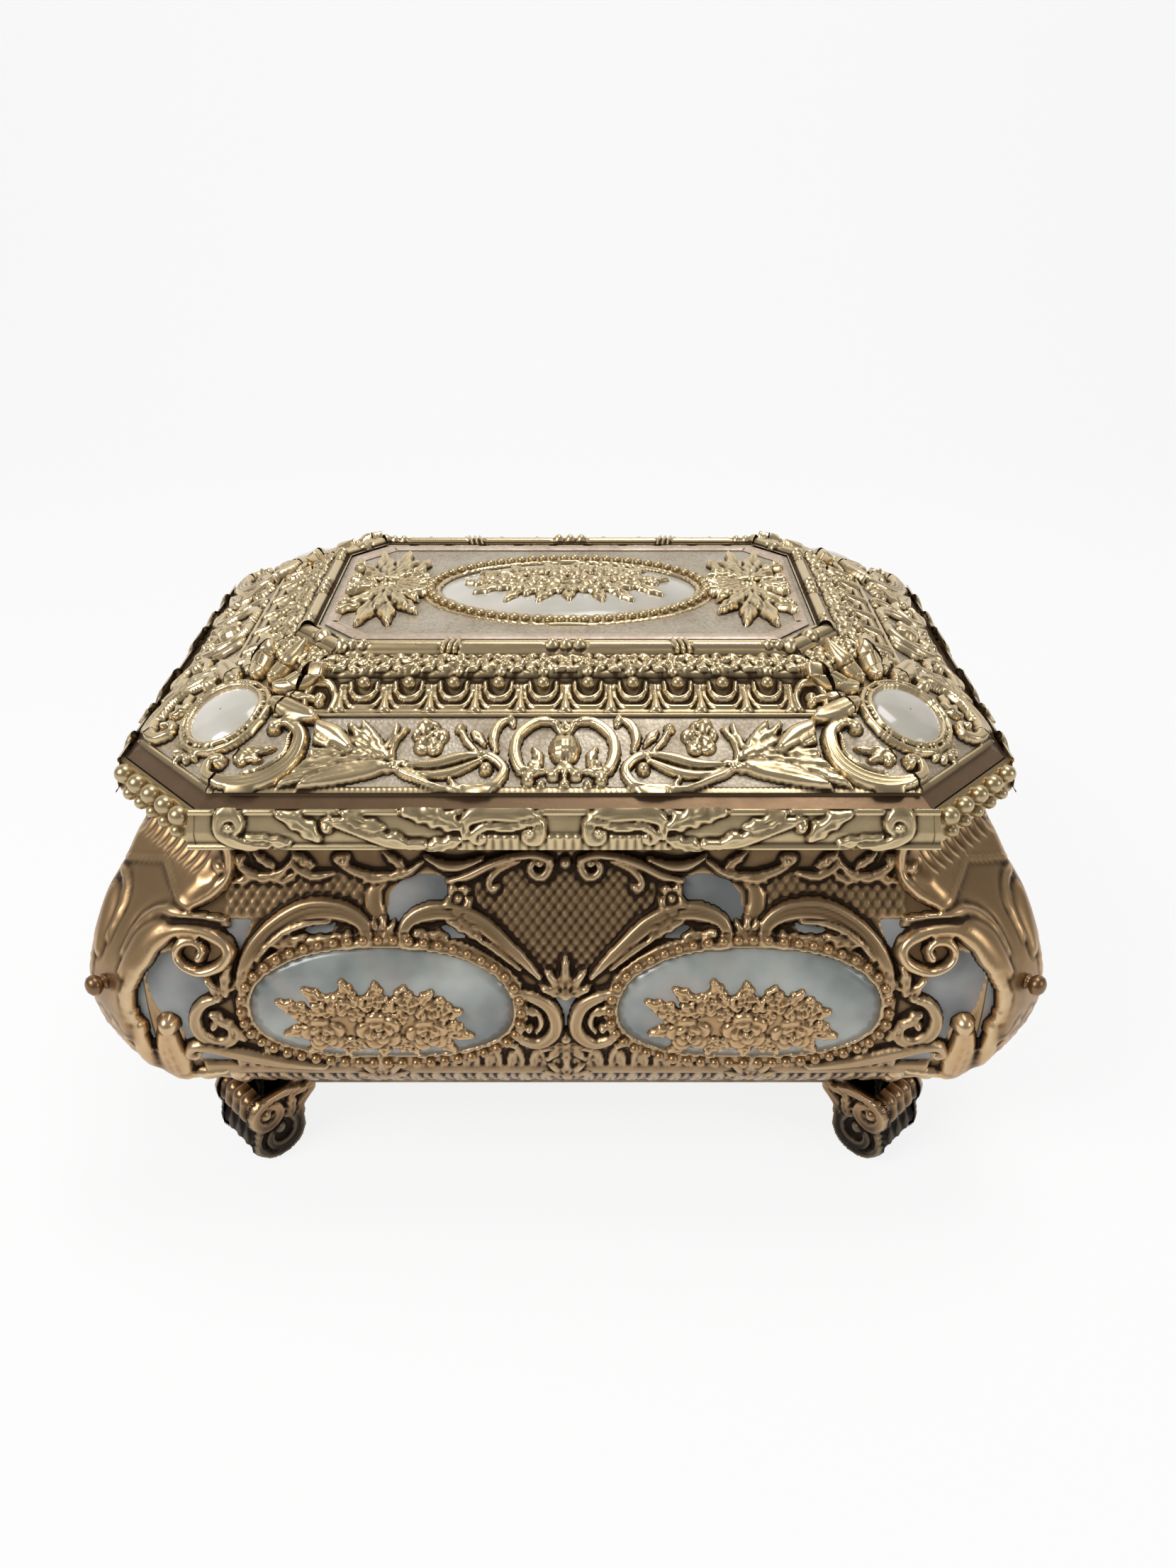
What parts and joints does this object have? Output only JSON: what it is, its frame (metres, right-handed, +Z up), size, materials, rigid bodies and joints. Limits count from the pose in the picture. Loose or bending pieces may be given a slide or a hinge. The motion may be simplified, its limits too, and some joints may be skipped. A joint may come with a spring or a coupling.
{
  "type": "jewellery casket",
  "caption": "Footed bombe jewellery casket of gilt castings over a pearl ground, with oval plaques, corner scrolls and a hinged domed lid with cabochons.",
  "frame": {"origin": "middle of the footprint, on the surface the feet stand on", "axes": "+Z up, -Y is the front with the two oval plaques, +X to the viewer's right"},
  "size_m": [0.1812, 0.1372, 0.1078],
  "materials": {
    "gilt_casting": "antiqued gilt cast metal, warm, dark patina in the recesses",
    "pale_gilt": "pale silvery gilt cast metal, polished on the high points",
    "dark_gilt": "gilt cast metal with heavy brown patina",
    "silvered_ground": "grained satin silvered metal with a pinkish cast",
    "dark_fillet": "smooth dark polished fillet",
    "shell_metal": "plain worn gilt sheet metal",
    "hinge_metal": "plain turned metal",
    "pearl": "glossy mother-of-pearl effect enamel, pale blue-grey",
    "pearl_sheet": "satin pearl effect enamel ground, greyish lilac",
    "lid_cabochon": "glossy white pearl effect cabochon",
    "velvet_lining": "burgundy velvet"
  },
  "bodies": {
    "casket": {"body_shell": "shell_metal", "pearl_ground": "pearl_sheet", "base_plate": "shell_metal", "front_casting": "gilt_casting", "rear_casting": "gilt_casting", "left_casting": "gilt_casting", "right_casting": "gilt_casting", "corner_scroll_front_left": "gilt_casting", "corner_scroll_front_right": "gilt_casting", "corner_scroll_rear_left": "gilt_casting", "corner_scroll_rear_right": "gilt_casting", "corner_knobs": "gilt_casting", "plaque_front_left": "pearl", "plaque_front_right": "pearl", "plaque_rear_left": "pearl", "plaque_rear_right": "pearl", "plaque_left": "pearl", "plaque_right": "pearl", "bouquet_front_left": "gilt_casting", "bouquet_front_right": "gilt_casting", "bouquet_rear_left": "gilt_casting", "bouquet_rear_right": "gilt_casting", "bouquet_left": "gilt_casting", "bouquet_right": "gilt_casting", "foot_front_left": "dark_gilt", "foot_front_right": "dark_gilt", "foot_rear_left": "dark_gilt", "foot_rear_right": "dark_gilt", "foot_nuts": "hinge_metal", "body_hinge_leaves": "hinge_metal", "hinge_pins": "hinge_metal", "wall_lining": "velvet_lining", "floor_pad": "velvet_lining"},
    "lid": {"lid_shell": "silvered_ground", "lid_seat_frame": "silvered_ground", "top_panel": "silvered_ground", "top_border": "pale_gilt", "centre_cabochon": "lid_cabochon", "centre_bead_ring": "pale_gilt", "centre_bouquet": "pale_gilt", "leaf_spray_left": "pale_gilt", "leaf_spray_right": "pale_gilt", "garland_band": "pale_gilt", "egg_band": "pale_gilt", "lid_panel_front": "pale_gilt", "lid_panel_rear": "pale_gilt", "lid_panel_left": "pale_gilt", "lid_panel_right": "pale_gilt", "corner_cartouches": "pale_gilt", "corner_cabochons": "lid_cabochon", "fillet_band": "dark_fillet", "rim_band": "pale_gilt", "rim_beads": "pale_gilt", "lid_lining": "velvet_lining", "lid_hinge_leaves": "hinge_metal"}
  },
  "joints": [
    {"name": "lid_hinge", "type": "hinge", "parent": "casket", "child": "lid", "pos_m": [0, 0.062, 0.08], "axis": [-1, 0, 0], "range_deg": [0, 100]}
  ]
}
